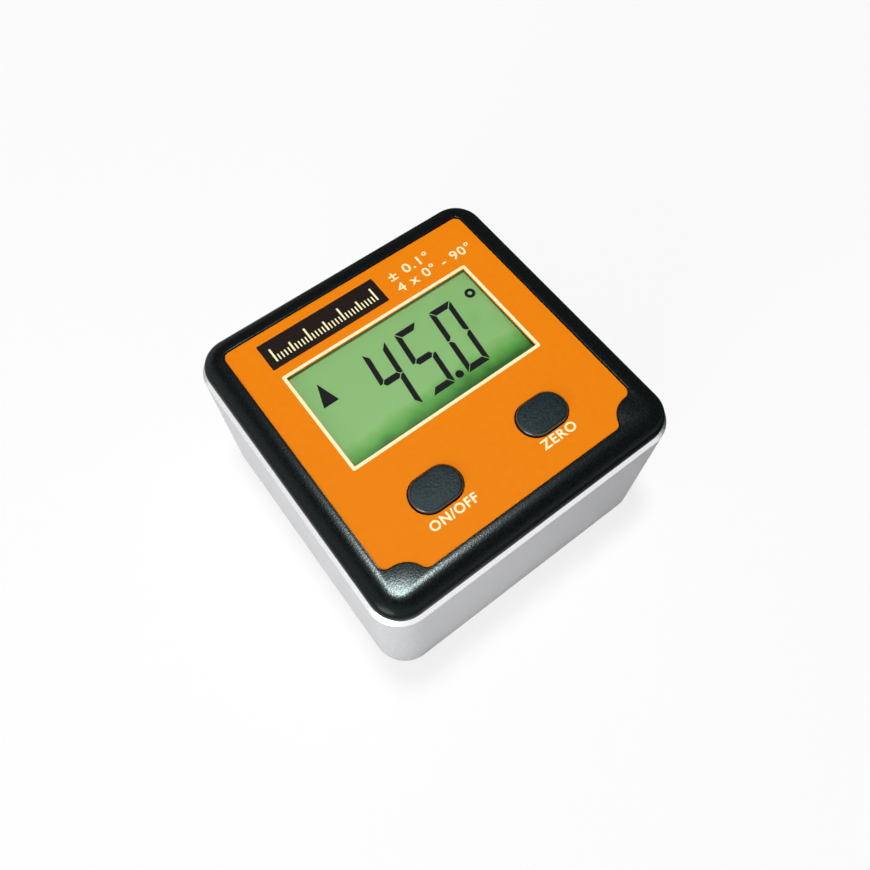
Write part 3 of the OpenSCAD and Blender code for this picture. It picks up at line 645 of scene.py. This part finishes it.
def makeFloor():
    bm = bmesh.new()
    bmesh.ops.create_circle(bm, cap_ends=True, segments=floor["sides"], radius=floor["radius"])
    bmesh.ops.translate(bm, vec=(0, 0, -floor["drop"]), verts=bm.verts)
    mesh = bpy.data.meshes.new("floor")
    bm.to_mesh(mesh)
    bm.free()
    piece = bpy.data.objects.new("floor", mesh)
    scene.collection.objects.link(piece)
    material, tree = newMaterial("floorWhite")
    nodes, links = tree.nodes, tree.links
    nodes.remove(nodes["Principled BSDF"])
    place = objectPlace(tree)
    path = nodes.new("ShaderNodeLightPath").outputs
    matt = nodes.new("ShaderNodeBsdfDiffuse")
    matt.inputs["Color"].default_value = (floor["white"], floor["white"], floor["white"], 1)
    # painted dark reflection: reflections see a floor painted dimmer, darkest at the right, which darkens the case's
    # right side and the bezel's right edge
    dim = nodes.new("ShaderNodeBsdfDiffuse")
    links.new(mapped(tree, parted(tree, place)["X"], floor["dim"], floor["dimAcross"]), dim.inputs["Color"])
    glow = nodes.new("ShaderNodeEmission")
    away = nodes.new("ShaderNodeVectorMath")
    away.operation = "LENGTH"
    links.new(place, away.inputs[0])
    fade = mapped(tree, away.outputs["Value"], floor["glow"], floor["fade"])
    share = reckoned(tree, "MULTIPLY", fade, path["Is Camera Ray"])
    under = mixed(tree, path["Is Glossy Ray"], matt.outputs["BSDF"], dim.outputs["BSDF"])
    links.new(mixed(tree, share, under, glow.outputs["Emission"]), nodes["Material Output"].inputs["Surface"])
    mesh.materials.append(material)


makeFloor()

studio = dict(soft=0.36, tilt=(0.6, 0.3, 1), wallToCeiling=(0.25, 0.6), levels=(1.0, 0.12))


def makeWorld():
    world = bpy.data.worlds.new("studio")
    scene.world = world
    world.use_nodes = True
    tree = world.node_tree
    nodes, links = tree.nodes, tree.links
    soft = nodes["Background"]
    soft.inputs["Color"].default_value = (1, 1, 1, 1)
    soft.inputs["Strength"].default_value = studio["soft"]
    white = nodes.new("ShaderNodeBackground")
    white.inputs["Color"].default_value = (1, 1, 1, 1)
    path = nodes.new("ShaderNodeLightPath").outputs
    # reflections see the white walls of the studio, and a darker ceiling that comes lower at the far right
    height = nodes.new("ShaderNodeVectorMath")
    height.operation = "DOT_PRODUCT"
    height.inputs[1].default_value = studio["tilt"]
    links.new(nodes.new("ShaderNodeTexCoord").outputs["Generated"], height.inputs[0])
    ceiling = mapped(tree, height.outputs["Value"], studio["levels"], studio["wallToCeiling"])
    links.new(reckoned(tree, "MAXIMUM", path["Is Camera Ray"], ceiling), white.inputs["Strength"])
    either = reckoned(tree, "MAXIMUM", path["Is Camera Ray"], path["Is Glossy Ray"])
    seen = reckoned(tree, "MAXIMUM", either, path["Is Transmission Ray"])
    links.new(mixed(tree, seen, soft.outputs["Background"], white.outputs["Background"]),
              nodes["World Output"].inputs["Surface"])


makeWorld()

lampTarget = Vector((0, 0, 0.02))
lamps = {
    "key": dict(place=(0.01, 0.06, 0.63), size=0.1, power=1.95, sheenOnly=False),
    "spark": dict(place=(0.01, 0.06, 0.63), size=0.05, power=5.0, sheenOnly=True),
    "leftFill": dict(place=(-0.55, -0.22, 0.14), size=0.4, power=2.2, sheenOnly=False),
}
for name, setting in lamps.items():
    lamp = bpy.data.lights.new(name, "AREA")
    lamp.shape = "DISK"
    lamp.size = setting["size"]
    lamp.energy = setting["power"]
    holder = bpy.data.objects.new(name, lamp)
    holder.location = setting["place"]
    holder.rotation_euler = (Vector(setting["place"]) - lampTarget).to_track_quat("Z", "Y").to_euler()
    holder.visible_diffuse = not setting["sheenOnly"]
    scene.collection.objects.link(holder)

camera = dict(place=(-0.03897, -0.05134, 0.1485), turn=(26.4064, 0.1847, -36.9195), lens=32.656, sensor=36,
              shift=(0.0095, -0.0157), clip=(0.005, 20))
eye = bpy.data.cameras.new("photoCamera")
eye.sensor_width = camera["sensor"]
eye.lens = camera["lens"]
eye.shift_x, eye.shift_y = camera["shift"]
eye.clip_start, eye.clip_end = camera["clip"]
eyeHolder = bpy.data.objects.new("photoCamera", eye)
eyeHolder.location = camera["place"]
eyeHolder.rotation_euler = [math.radians(angle) for angle in camera["turn"]]
scene.collection.objects.link(eyeHolder)
scene.camera = eyeHolder
scene.view_settings.view_transform = "Standard"

print("scene ready")
